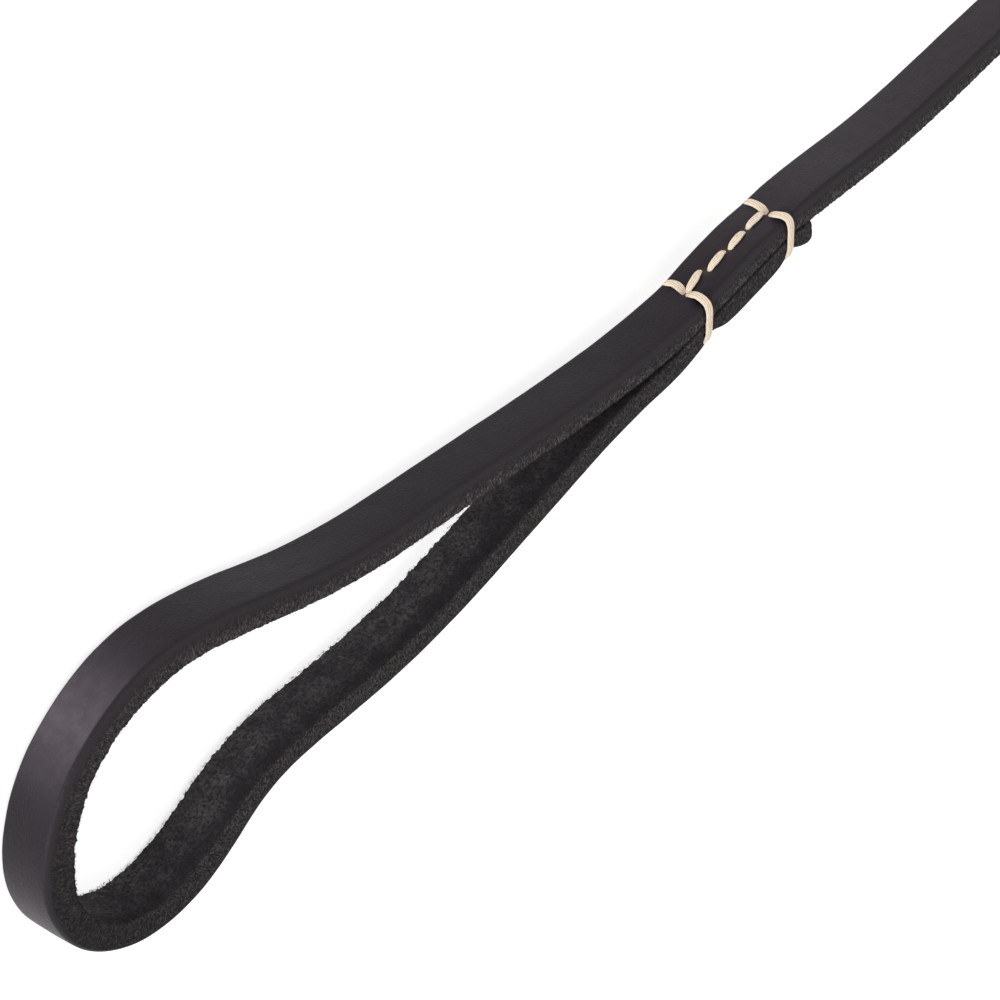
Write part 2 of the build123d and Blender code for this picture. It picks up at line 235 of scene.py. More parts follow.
class Surface:
    """A material being made: short ways to add nodes and to feed its principled shader."""

    def __init__(self, name):
        self.material = bpy.data.materials.new(name)
        self.material.use_nodes = True
        self.tree = self.material.node_tree

    def feed(self, node, inputs):
        """Each input is a socket to link from or a plain value."""
        for key, value in inputs.items():
            if isinstance(value, bpy.types.NodeSocket):
                self.tree.links.new(value, node.inputs[key])
            else:
                node.inputs[key].default_value = value

    def add(self, kind, inputs, output=0, **settings):
        """Adds a node and gives one of its outputs."""
        made = self.tree.nodes.new("ShaderNode" + kind)
        for key, value in settings.items():
            setattr(made, key, value)
        self.feed(made, inputs)
        return made.outputs[output]

    def shade(self, inputs):
        """Feeds the shader and gives the finished material."""
        self.feed(self.tree.nodes["Principled BSDF"], inputs)
        return self.material

    def mask(self, name, output="Fac"):
        """A value carried on the mesh."""
        return self.add("Attribute", {}, output, attribute_name=name)

    def stretched(self, space, scale):
        return self.add("VectorMath", {0: space, 1: scale}, operation="MULTIPLY")

    def local(self, scale=(1.0, 1.0, 1.0)):
        """The piece's own unbent coordinates in millimetres, stretched by scale."""
        return self.stretched(self.mask("local", "Vector"), scale)

    def metres(self):
        """The object's coordinates in metres."""
        return self.add("TexCoord", {}, "Object")

    def noise(self, space, scale, detail=4.0, roughness=0.6, output="Fac"):
        inputs = {"Vector": space, "Scale": scale, "Detail": detail, "Roughness": roughness}
        return self.add("TexNoise", inputs, output)

    def drifted(self, space, scale, reach):
        """A space pushed about by slow noise."""
        push = self.noise(space, scale, 2.0, 0.5, "Color")
        inputs = {0: push, 1: (reach, reach, reach), 2: space}
        return self.add("VectorMath", inputs, operation="MULTIPLY_ADD")

    def cells(self, space, scale, feature):
        return self.add("TexVoronoi", {"Vector": space, "Scale": scale}, "Distance", feature=feature)

    def spread(self, value, low, high, to_low=0.0, to_high=1.0):
        """Maps low..high onto to_low..to_high, held at both ends."""
        ends = {"From Min": low, "From Max": high, "To Min": to_low, "To Max": to_high}
        return self.add("MapRange", {"Value": value, **ends})

    def maths(self, operation, first, second=0.0):
        return self.add("Math", {0: first, 1: second}, operation=operation)

    def plus_share(self, value, other, share):
        """A value with a share of another added."""
        return self.maths("ADD", value, self.maths("MULTIPLY", other, share))

    def mix(self, factor, first, second):
        """A blend of two colours, each a socket or an (r, g, b)."""
        inputs = {0: factor, 6: opaque(first), 7: opaque(second)}
        return self.add("Mix", inputs, 2, data_type="RGBA")

    def bump(self, height, relief):
        """A normal from a height; relief is in millimetres."""
        return self.add("Bump", {"Height": height, "Distance": relief * MM})


def grain_colour(look, space, cloud, grain):
    """Cloudy waxed leather with pale specks, bevels painted lighter as painted reflection, painted highlights and
    wax stains.
    """
    colour = look.mix(look.spread(cloud, 0.35, 0.7), grain, tuple(value * 1.55 for value in grain))
    specks = look.spread(look.noise(space, 7.0, 2.0, 0.5), 0.70, 0.78)
    colour = look.mix(look.maths("MULTIPLY", specks, 0.35), colour, (0.10, 0.092, 0.09))
    # Painted reflection: the bevel's colour is painted lighter, standing in for the floor's reflection that the
    # grain face gets and the bevel lacks.
    bevel = look.mask("bevel")
    colour = look.mix(bevel, colour, (0.0208, 0.0184, 0.0203))
    mottle = look.spread(look.noise(space, 0.5, 3.0), 0.3, 0.7, 0.8, 1.2)
    # Painted highlights: the grain is painted lighter where the mesh's highlight value is, but not on the bevel.
    worn = look.maths("MULTIPLY", look.mask("worn"), mottle)
    worn = look.maths("MULTIPLY", worn, look.spread(bevel, 0.0, 0.5, 1.0, 0.0))
    colour = look.mix(worn, colour, (0.080, 0.069, 0.080))
    return look.mix(look.mask("stain"), colour, (0.050, 0.030, 0.016))


def edge_colour(look, space, fibres):
    """A cut edge: pale fibres over dark leather, dark in tufts and darker where the mesh says so."""
    dark = (0.017, 0.0155, 0.0155)
    colour = look.mix(look.spread(fibres, 0.46, 0.70), dark, (0.168, 0.149, 0.146))
    tufts = look.spread(look.noise(space, 0.9, 3.0), 0.46, 0.70, 0.0, 0.65)
    colour = look.mix(tufts, colour, dark)
    darkened_fibres = look.spread(fibres, 0.44, 0.70)
    darkened = look.mix(darkened_fibres, (0.008, 0.0075, 0.0075), (0.052, 0.046, 0.043))
    return look.mix(look.mask("dark"), colour, darkened)


def flesh_colour(look, space, nap):
    """The napped flesh side, blotched, and darkened where the mesh says so: on the strap, painted shade towards
    the flesh side's upper edge.
    """
    dark = (0.0165, 0.0150, 0.0165)
    colour = look.mix(look.spread(nap, 0.38, 0.78), dark, (0.104, 0.096, 0.099))
    blotches = look.spread(look.noise(space, 0.28, 3.0, 0.55), 0.42, 0.62, 0.0, 0.65)
    colour = look.mix(blotches, colour, dark)
    return look.mix(look.mask("dark"), colour, (0.0110, 0.0100, 0.0108))


def strap_leather_material(name, grain, grain_scale=1.0, relief=0.06, gloss=0.15):
    """Waxed grain on one face, eased corners, rough cut edges and a napped flesh side.

    Values on the mesh, from 0 to 1, say where the bevel, cut edge and flesh side are,
    where the grain carries painted highlights, where rough leather is darker (painted shade on the flesh side's
    upper part, and the cut edge past the loop's far end) and where thread has stained.
    """
    look = Surface(name)
    space = look.local()
    cloud = look.noise(look.local((0.3, 1.0, 1.0)), 0.22, 3.0)
    swirled = look.drifted(space, 0.35, 2.0)
    fibres = look.noise(look.stretched(swirled, (1.5, 0.55, 0.55)), 3.0, 5.0, 0.75)
    nap = look.noise(swirled, 1.7, 6.0, 0.66)
    ragged = look.noise(space, 1.6, 4.0, 0.7)
    cut_here = look.spread(look.plus_share(look.mask("cut"), ragged, 0.8), 0.60, 1.05)
    flesh_here = look.spread(look.plus_share(look.mask("flesh"), ragged, 0.6), 0.62, 0.92)
    rough_here = look.maths("MAXIMUM", cut_here, flesh_here)

    colour = grain_colour(look, space, cloud, grain)
    colour = look.mix(cut_here, colour, edge_colour(look, space, fibres))
    colour = look.mix(flesh_here, colour, flesh_colour(look, space, nap))

    pores = look.noise(space, 5.5 * grain_scale, 3.0, 0.7)
    creases = look.cells(look.local((0.7, 1.0, 1.0)), 1.3 * grain_scale, "DISTANCE_TO_EDGE")
    creases = look.spread(creases, 0.0, 0.12, 0.0, 0.35)
    grain_height = look.maths("ADD", look.maths("MULTIPLY", pores, 0.5), creases)
    rough_height = look.plus_share(look.maths("MULTIPLY", fibres, 4.0), nap, 3.5)
    height = look.add("Mix", {0: rough_here, 2: grain_height, 3: rough_height})
    polish = look.spread(cloud, 0.3, 0.7, 0.42, 0.52)
    return look.shade({
        "Base Color": colour,
        "Roughness": look.add("Mix", {0: rough_here, 2: polish, 3: 0.95}),
        "Normal": look.bump(height, relief),
        "Specular IOR Level": gloss,
        "Specular Tint": (0.97, 0.84, 1.0, 1.0),
    })


def thread_material(name, clean, darkened, sheen=0.15):
    """Waxed plied thread: fibres run along each ply, wax and dirt gather at the holes, and painted shade darkens
    the core and the valleys between the plies.
    """
    look = Surface(name)
    fibres = look.noise(look.local((0.35, 1.0, 1.0)), 9.0, 4.0, 0.65)
    blotch = look.noise(look.local(), 1.3, 3.0)
    pale = tuple(min(1.0, value * 1.18) for value in clean)
    colour = look.mix(look.spread(fibres, 0.35, 0.65), clean, pale)
    # Dirt at the holes and painted shade in the ply valleys come from the mesh; blotches add dirt.
    dirt_and_shade_amount = look.maths("ADD", look.mask("soil"), look.spread(blotch, 0.50, 0.8, 0.0, 0.35))
    return look.shade({
        "Base Color": look.mix(look.spread(dirt_and_shade_amount, 0.0, 1.0), colour, darkened),
        "Roughness": look.spread(fibres, 0.3, 0.7, 0.5, 0.72),
        "Normal": look.bump(fibres, 0.05),
        "Sheen Weight": sheen,
        "Subsurface Weight": 0.08,
        "Subsurface Scale": 0.0006,
    })


def fibre_material(name):
    """Loose fibres standing off the flesh side and cut edges."""
    look = Surface(name)
    tone = look.spread(look.noise(look.local(), 0.8, 2.0), 0.4, 0.65)
    colour = look.mix(tone, (0.013, 0.012, 0.0115), (0.056, 0.050, 0.045))
    return look.shade({"Base Color": colour, "Roughness": 0.8})


def grip_leather_material(name):
    """Pebbled leather with polish worn into its high spots."""
    look = Surface(name)
    space = look.local()
    pebbles = look.cells(look.drifted(space, 0.9, 0.8), 1.35, "SMOOTH_F1")
    fine = look.noise(space, 5.0, 3.0, 0.65)
    cloud = look.spread(look.noise(space, 0.09, 3.0), 0.35, 0.7)
    base = look.mix(cloud, (0.0085, 0.0066, 0.0068), (0.016, 0.013, 0.0125))
    valleys = look.spread(pebbles, 0.38, 0.62)
    height = look.plus_share(look.spread(pebbles, 0.2, 0.65, 1.0, 0.0), fine, 0.35)
    return look.shade({
        "Base Color": look.mix(look.maths("MULTIPLY", valleys, 0.6), base, (0.004, 0.0035, 0.0035)),
        "Roughness": look.spread(valleys, 0.0, 1.0, 0.42, 0.7),
        "Normal": look.bump(height, 0.09),
        "Specular IOR Level": 0.25,
    })


def lace_material(name):
    """Smooth leather lace for the plaited collars."""
    look = Surface(name)
    space = look.local((0.4, 1.0, 1.0))
    cloud = look.noise(space, 0.5, 2.0)
    shades = (0.0075, 0.006, 0.006), (0.015, 0.012, 0.0115)
    return look.shade({
        "Base Color": look.mix(look.spread(cloud, 0.35, 0.7), *shades),
        "Roughness": look.spread(cloud, 0.3, 0.7, 0.38, 0.52),
        "Normal": look.bump(look.noise(space, 4.5, 4.0, 0.65), 0.07),
        "Specular IOR Level": 0.25,
    })


def braid_material(name):
    """Polished braided thread: each strand shows six parallel yarns."""
    look = Surface(name)
    yarns = look.maths("SINE", look.maths("MULTIPLY", look.mask("across"), 18.85))
    fibres = look.noise(look.local((0.4, 1.0, 1.0)), 8.0, 3.0)
    shades = (0.004, 0.004, 0.0045), (0.013, 0.0125, 0.0135)
    return look.shade({
        "Base Color": look.mix(look.spread(yarns, -1.0, 0.2), *shades),
        "Roughness": 0.38,
        "Normal": look.bump(look.plus_share(yarns, fibres, 0.8), 0.08),
        "Specular IOR Level": 0.3,
        "Sheen Weight": 0.03,
    })


def moulded_material(name):
    """Black moulded plastic with a fine stipple and light scuffs."""
    look = Surface(name)
    scuffs = look.noise(look.metres(), 160.0, 4.0, 0.7)
    shades = (0.008, 0.008, 0.008), (0.017, 0.0165, 0.0165)
    return look.shade({
        "Base Color": look.mix(look.spread(scuffs, 0.5, 0.75), *shades),
        "Roughness": look.spread(scuffs, 0.35, 0.7, 0.36, 0.58),
        "Normal": look.bump(look.noise(look.metres(), 2600.0, 2.0), 0.04),
        "Specular IOR Level": 0.3,
    })


def nickel_material(name):
    """Nickel plate with fine turning marks and dulled patches."""
    look = Surface(name)
    dull = look.noise(look.metres(), 300.0, 4.0, 0.7)
    marks = look.noise(look.stretched(look.metres(), (4000.0, 60.0, 60.0)), 1.0, 3.0)
    shades = (0.66, 0.63, 0.58), (0.42, 0.39, 0.35)
    return look.shade({
        "Base Color": look.mix(look.spread(dull, 0.45, 0.8), *shades),
        "Roughness": look.spread(dull, 0.3, 0.75, 0.16, 0.40),
        "Normal": look.bump(marks, 0.01),
        "Metallic": 1.0,
    })


def streaked_material(name, scale, detail, dark, light, relief, roughness):
    """Streaks along the piece: the wood's figure, or the fibreglass rod's rovings."""
    look = Surface(name)
    streaks = look.noise(look.stretched(look.metres(), scale), 1.0, detail)
    colour = look.mix(look.spread(streaks, 0.3, 0.7), dark, light)
    normal = look.bump(streaks, relief)
    return look.shade({"Base Color": colour, "Roughness": roughness, "Normal": normal})


# Every material is named after its slot, but for the strap's loose fibres.
recipes = {
    "strap_leather": (strap_leather_material, (0.0062, 0.0045, 0.0060)),
    "keeper_leather": (strap_leather_material, (0.0130, 0.0102, 0.0108), 0.8, 0.14, 0.32),
    "loose_fibres": (fibre_material,),
    "ivory_thread": (thread_material, (0.75, 0.62, 0.49), (0.20, 0.13, 0.07)),
    "whipping_thread": (thread_material, (0.011, 0.010, 0.010), (0.006, 0.005, 0.005), 0.03),
    "grip_leather": (grip_leather_material,),
    "collar_leather": (lace_material,),
    "braid": (braid_material,),
    "cap_plastic": (moulded_material,),
    "nickel": (nickel_material,),
    "handle_wood": (
        streaked_material, (60.0, 700.0, 700.0), 5.0, (0.34, 0.20, 0.10), (0.52, 0.35, 0.20), 0.05, 0.6,
    ),
    "fibreglass": (
        streaked_material, (30.0, 2500.0, 2500.0), 3.0, (0.50, 0.47, 0.33), (0.62, 0.60, 0.48), 0.02, 0.35,
    ),
}
materials = {name: recipe(name, *given) for name, (recipe, *given) in recipes.items()}


# ---- Mesh building ----
class Loft:
    """Collects rings of points into one mesh, with float values carried on the points."""

    def __init__(self, *value_names):
        self.points = []
        self.locals = []
        self.values = {name: [] for name in value_names}
        self.faces = []
        self.count = 0

    def add(self, rings, local=None, cap_start=True, cap_end=True, **values):
        """rings is (stations, around, 3); the rings are closed, the ends capped if asked."""
        stations, around, _ = rings.shape
        index = self.count + np.arange(stations * around).reshape(stations, around)
        turned = np.roll(index, -1, axis=1)
        quads = np.stack([index[:-1], turned[:-1], turned[1:], index[1:]], axis=-1)
        self.faces.extend(quads.reshape(-1, 4).tolist())
        if cap_start:
            self.faces.append(index[0][::-1].tolist())
        if cap_end:
            self.faces.append(index[-1].tolist())
        self.points.append(rings.reshape(-1, 3))
        self.locals.append((rings if local is None else local).reshape(-1, 3))
        for name, store in self.values.items():
            given = values.get(name, 0.0)
            store.append(np.broadcast_to(given, (stations, around)).reshape(-1))
        self.count += stations * around

    def finish(self, name, body, slot, replaced=(), rides=True, look=None):
        """Makes the piece in metres, in the frame, pressed flat where it meets the floor."""
        matrix = np.array(strap_place if body == "strap" else crop_place)
        world = (np.concatenate(self.points) @ matrix[:3, :3].T + matrix[:3, 3]) * MM
        world[:, 2] = np.maximum(world[:, 2], floor_z * MM)
        mesh = bpy.data.meshes.new(name)
        mesh.from_pydata(world.tolist(), [], self.faces)
        local = mesh.attributes.new("local", "FLOAT_VECTOR", "POINT")
        local.data.foreach_set("vector", np.concatenate(self.locals).astype(np.float32).reshape(-1))
        for value_name, value_store in self.values.items():
            attribute = mesh.attributes.new(value_name, "FLOAT", "POINT")
            attribute.data.foreach_set("value", np.concatenate(value_store).astype(np.float32))
        return finish_piece(name, mesh, body, slot, replaced, rides, look)


def finish_piece(name, mesh, body, slot, replaced=(), rides=True, look=None):
    """Links a mesh as a smooth-shaded piece.

    A piece blended between two bodies doesn't ride; look names a material other
    than the slot's own.
    """
    mesh.shade_smooth()
    mesh.materials.append(materials[look or slot])
    piece = bpy.data.objects.new(name, mesh)
    bpy.context.scene.collection.objects.link(piece)
    if rides:
        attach(piece, body)
    if replaced:
        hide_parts(*replaced)
    return piece


def unit(vectors):
    return vectors / np.maximum(np.linalg.norm(vectors, axis=-1, keepdims=True), 1e-9)


def directions_along(line):
    return unit(np.gradient(line, axis=0))


def lengths_along(line):
    steps = np.linalg.norm(np.diff(line, axis=0), axis=1)
    return np.concatenate([[0], np.cumsum(steps)])


def spline_tangents(knots, steps, first_direction, last_direction):
    """The tangents that make the cubic through the knots smooth; a free end is None."""
    count = len(knots)
    matrix = np.zeros((count, count))
    sums = np.zeros_like(knots)
    slopes = np.diff(knots, axis=0) / steps[:, None]
    for index in range(1, count - 1):
        before, after = steps[index - 1], steps[index]
        matrix[index, index - 1:index + 2] = (after, 2 * (before + after), before)
        sums[index] = 3 * (before * slopes[index] + after * slopes[index - 1])
    for row, beside, direction, slope in (
        (0, 1, first_direction, slopes[0]), (-1, -2, last_direction, slopes[-1])
    ):
        free = direction is None
        matrix[row, row] = 2.0 if free else 1.0
        matrix[row, beside] = 1.0 if free else 0.0
        sums[row] = 3 * slope if free else direction
    return np.linalg.solve(matrix, sums)


def spline_through(points, spacing, first_direction=None, last_direction=None):
    """Evenly spaced points on the smooth cubic through the given points."""
    knots = np.asarray(points, float)
    steps = np.linalg.norm(np.diff(knots, axis=0), axis=1)
    tangents = spline_tangents(knots, steps, first_direction, last_direction)
    t = np.linspace(0, 1, 24, endpoint=False)[:, None]
    fine = []
    for index, step in enumerate(steps):
        start, end = knots[index], knots[index + 1]
        lead, trail = tangents[index] * step, tangents[index + 1] * step
        fine.append(
            (2 * t**3 - 3 * t**2 + 1) * start + (t**3 - 2 * t**2 + t) * lead
            + (3 * t**2 - 2 * t**3) * end + (t**3 - t**2) * trail
        )
    line = np.concatenate([*fine, knots[-1:]])
    return evenly_along(line, max(2, round(lengths_along(line)[-1] / spacing) + 1))


def evenly_along(line, count):
    """The given number of points, evenly spaced along a line."""
    travelled = lengths_along(line)
    wanted = np.linspace(0, travelled[-1], count)
    return np.stack([np.interp(wanted, travelled, axis) for axis in line.T], 1)


def angles_round(count):
    return 2 * math.pi * np.arange(count) / count


def round_axis(x, radius, angle):
    """Points at an angle about the X axis."""
    return np.stack([x + 0 * angle, radius * np.cos(angle), radius * np.sin(angle)], axis=-1)


def squared_up(ups, forward):
    """The side and up directions square to a line, from roughly upward ones."""
    ups = unit(ups - forward * np.sum(ups * forward, axis=1, keepdims=True))
    return np.cross(ups, forward), ups


def cross_frames(line, first_side):
    """Two cross directions along a line, carried forward without twisting."""
    forward = directions_along(line)
    sides = np.empty_like(line)
    side = np.asarray(first_side, float)
    for index, ahead in enumerate(forward):
        side = side - ahead * np.dot(side, ahead)
        side = side / np.linalg.norm(side)
        sides[index] = side
    return sides, np.cross(forward, sides)


def tube_rings(line, sides, ups, half_width, half_height, around):
    """Elliptical rings along a line, and their unbent coordinates."""
    angle = angles_round(around)
    across = np.broadcast_to(half_width, len(line))[:, None] * np.cos(angle)
    up = np.broadcast_to(half_height, len(line))[:, None] * np.sin(angle)
    rings = line[:, None] + across[..., None] * sides[:, None] + up[..., None] * ups[:, None]
    return rings, unbent(lengths_along(line), across, up)


def unbent(along, across, up):
    """A section's points laid out straight, for the material's own coordinates."""
    return np.stack([np.broadcast_to(along[:, None], up.shape), across, up], axis=-1)


def lumps(points, scale, seed, octaves):
    """Fractal noise, about -1 to 1, at every point of an (..., 3) array."""
    flat = points.reshape(-1, 3) * scale + seed
    values = [noise.fractal(Vector(point), 0.9, 2.1, octaves) for point in flat]
    return np.array(values).reshape(points.shape[:-1])


# ---- The wrist strap ----
def near_binding(u, reach):
    """1 at a binding, falling to 0 a few times reach away along the strap."""
    holes = stitch_holes[0], stitch_holes[-1]
    return np.minimum(1.0, sum(np.exp(-((u - hole) / reach) ** 2) for hole in holes))


def spread_between(value, low, high):
    """A smooth step from 0 at low to 1 at high."""
    t = np.clip((value - low) / (high - low), 0, 1)
    return t * t * (3 - 2 * t)


def strap_line():
    """The strap's middle line, from inside the cap's slot round to its free end."""
    spacing = 0.27
    line = spline_through(strap_route, spacing, (1, 0), (-0.99, 0.12))
    along_tail = np.arange(-strap_tail_length, -spacing / 2, spacing)
    tail = np.stack([along_tail, np.zeros(len(along_tail))], 1)
    return np.concatenate([tail, line])


def strap_lift(u):
    """How far the strap is bent up or down from its plane to follow the slot in the cap."""
    tilt = math.tan(strap_slope + crop_slope)
    turn = 3.0
    inside = tilt * u
    turning = -tilt * (turn - u) ** 2 / (4 * turn)
    return np.where(u < -turn, inside, np.where(u < turn, turning, 0.0))


def strap_profile(grain_half, flesh_half, width, bevels, flesh_corner, edge_rawness=0.1):
    """The strap's section: across (grain side positive) and up, with its masks.

    bevels gives the rounding of the grain face's upper (1) and lower (-1) corners,
    and edge_rawness says how rough the cut edge already is beside them.
    """
    face = np.linspace(-1, 1, 19)
    arc = np.radians(np.linspace(0, 90, 7)[1:-1])
    edge = np.linspace(0, 1, 11)
    corner = np.radians(np.linspace(0, 90, 5)[1:-1])
    rows = []

    def put(across, up, cut, flesh, eased):
        values = (across, up, cut, flesh, eased)
        rows.append([np.broadcast_to(value, width.shape) for value in values])

    def put_bevel(angle, side):
        across = grain_half - bevels[side] * (1 - math.cos(angle))
        up = side * (width - bevels[side] * (1 - math.sin(angle)))
        put(across, up, 0, 0, math.sin(angle) ** 0.7)

    def put_edge(place, side):
        across = (grain_half - bevels[side]) * (1 - place) - (flesh_half - flesh_corner) * place
        put(across, side * width, edge_rawness + (1 - edge_rawness) * place, 0, (1 - place) ** 3)

    def put_corner(angle, side):
        across = -flesh_half + flesh_corner * (1 - math.sin(angle))
        put(across, side * (width - flesh_corner * (1 - math.cos(angle))), 1, 0.6, 0)

    for place in face:
        up = (width - bevels[1 if place > 0 else -1]) * place
        put(grain_half + 0.10 * (1 - place * place), up, 0, 0, 0)
    for angle in arc:
        put_bevel(angle, 1)
    for place in edge:
        put_edge(place, 1)
    for angle in corner:
        put_corner(angle, 1)
    for place in face:
        put(-flesh_half, -(width - flesh_corner) * place, 0, 1, 0)
    for angle in corner[::-1]:
        put_corner(angle, -1)
    for place in edge[::-1]:
        put_edge(place, -1)
    for angle in arc[::-1]:
        put_bevel(angle, -1)
    return np.moveaxis(np.array(rows, float), 0, 2)


def strap_lean(from_hinge, up):
    """The wall of the strap leans out at the foot where it turns back on itself."""
    reach = np.exp(-(((from_hinge - 286.0) / 13.0) ** 2))
    return 0.7 * reach[:, None] * (0.4 - up / strap_width)


def past_the_turn(from_hinge):
    """0 up to the loop's far end, rising to 1 beyond it."""
    return spread_between(from_hinge, 225, 290)


def strap_highlight_and_edge_tone(from_hinge):
    """Where the grain carries painted highlights, and how dark the cut edge is, along the strap.

    The neck is painted a little paler than the loop as painted light, and painted highlights lie at two
    places round the loop's far end; the cut edge is darkest just past them.
    """
    # Painted light: the neck is painted a little paler, and two painted highlights lie round the loop's far end.
    worn = 0.15 * (1 - spread_between(from_hinge, 80, 130))
    for place, reach, amount in ((249.5, 9.0, 0.80), (282.0, 8.0, 0.36)):
        worn = worn + amount * np.exp(-(((from_hinge - place) / reach) ** 2))
    darkening = past_the_turn(from_hinge) * (1 - 0.6 * spread_between(from_hinge, 285, 325))
    return worn, 0.9 * darkening


def strap_rawness(from_hinge):
    """How ragged the rough leather is: rubbed smoother from the cap to the loop's far end."""
    return 0.55 + 0.45 * past_the_turn(from_hinge)


def strap_stain(u, up):
    """Wax and dirt round the stitch holes, fading within a millimetre."""
    stain = np.zeros_like(up)
    for hole in stitch_holes:
        gap = np.hypot(u[:, None] - hole, up - stitch_row_z)
        stain = np.maximum(stain, 0.8 * np.exp(-((gap / 0.8) ** 2)))
    return stain


def drawn_in(u, across, up):
    """A binding draws the top front corner in, like a cord round a pillow."""
    drawn = near_binding(u, 2.2)[:, None] * spread_between(up, 2.2, 5.2)
    drawn = drawn * spread_between(across, -0.6, 1.6)
    return across - 0.75 * drawn, up - 0.30 * drawn


def pared_end(across, half, left_over):
    """The free end is cut square, with its grain-side corner pared round."""
    pared = 1.3
    back = np.clip(pared - left_over, 0, pared)[:, None]
    paring = pared - np.sqrt(np.maximum(pared**2 - back**2, 0.0))
    return np.where(across > 0, across - paring * np.clip(across / half[:, None], 0, 1), across)


def stitch_furrow(u, up):
    """The shallow furrow that the thread row pulls into the grain between the bindings."""
    sharpness = 2
    started = 1 + np.exp(-(u - stitch_holes[0]) * sharpness)
    ended = 1 + np.exp((u - stitch_holes[-1]) * sharpness)
    row_here = (1 / started / ended)[:, None]
    return 0.22 * row_here * np.exp(-((up - stitch_row_z) / 1.3) ** 2)


def ruffled(local, fuzz):
    """The section pushed in and out: slow waves all over, and raggedness as fuzz says."""
    across, up = local[..., 1], local[..., 2]
    ragged = 0.55 * lumps(local, 3.1, 11.0, 2) + 0.45 * lumps(local * (0.7, 1, 1), 1.1, 17.0, 2)
    push = ragged * fuzz + lumps(local, 0.12, 5.0, 2) * 0.06
    flat_across, flat_up = 0.4, strap_edge - 1.2
    out_across = across - np.clip(across, -flat_across, flat_across)
    out_up = np.where(np.abs(up) > flat_up, up - np.sign(up) * flat_up, 0)
    length = np.maximum(np.hypot(out_across, out_up), 0.3)
    return across + push * out_across / length, up + push * out_up / length


def make_strap():
    """One strap: neck, stitched pair, loop and free end, with ragged surfaces and the values for its painted
    highlights and painted shade.
    """
    line = strap_line()
    u = line[:, 0]
    travelled = lengths_along(line)
    from_hinge = travelled - strap_tail_length
    forward = directions_along(line)
    outward = np.stack([forward[:, 1], -forward[:, 0]], 1)
    pinched = strap_half - binding_pinch * near_binding(u, pinch_reach)
    half = pinched + np.interp(from_hinge, *zip(*grain_fullness))
    flesh_half = pinched + np.interp(from_hinge, *zip(*flesh_fullness))
    bevels = {1: 1.0 - 0.4 * spread_between(from_hinge, 270, 290), -1: 0.5}
    across, up, cut, flesh, eased = strap_profile(
        half, flesh_half, np.full(len(u), strap_edge), bevels, 0.35, 0.1 + 0.45 * past_the_turn(from_hinge)
    )
    across, up = drawn_in(u, across, up + edge_fullness)
    across = pared_end(across, half, travelled[-1] - travelled)
    on_face = (across > half[:, None] - 0.2).astype(float)
    across = across - stitch_furrow(u, up) * on_face
    stain = strap_stain(u, up) * on_face
    worn, edge_dark = strap_highlight_and_edge_tone(from_hinge)
    # On the cut edge, darker from the loop's far end on; on the flesh side, painted shade: its upper part
    # darkened, its lower part left lighter as if lit from the floor.
    dark = edge_dark[:, None] * (1 - flesh) + 0.7 * flesh * spread_between(up, 0.5, 4.3)

    local = unbent(travelled, across, up)
    raw = 0.14 * np.maximum(cut, flesh) + 0.26 * (cut * flesh > 0.3)
    across, up = ruffled(local, 0.015 + raw * strap_rawness(from_hinge)[:, None])
    across = across + strap_lean(from_hinge, up)
    in_plane = line.T[..., None] + outward.T[..., None] * across
    rings = np.stack([*in_plane, up + strap_lift(u)[:, None]], axis=-1)
    strap = Loft("cut", "flesh", "bevel", "worn", "dark", "stain")
    strap.add(rings, local, cut=cut, flesh=flesh, bevel=eased, worn=worn[:, None], dark=dark, stain=stain)
    piece = strap.finish(
        "wrist_strap_leather", "strap", "strap_leather", ("wrist_strap", "strap_tail"), rides=False
    )
    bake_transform(piece)
    return line, forward, outward, flesh_half


def fibre_root(draw, middle, outward, flesh_side, from_hinge):
    """A place on the flesh side, a cut edge or a flesh corner, and the way out of it."""
    side = draw.choice((-1, 1))
    kind = draw.random()
    away = np.array([*(-outward), 0.0])
    up = np.array([0.0, 0.0, side])
    on_edge = kind < 0.28
    on_corner = not on_edge and kind < 0.60
    if on_edge:
        across, height, normal = draw.uniform(flesh_side + 0.2, 0.4), side * strap_edge + edge_fullness, up
    elif on_corner:
        across, height = flesh_side + 0.1, side * strap_edge + 0.04
        normal = unit(away + up * draw.uniform(0.2, 1.2))
    else:
        across, height, normal = flesh_side, draw.uniform(-1, 1) * strap_edge, away
    across = across + float(strap_lean(np.array([from_hinge]), np.array([[height]]))[0, 0])
    return np.array([*(middle + outward * across), height]), normal, on_corner


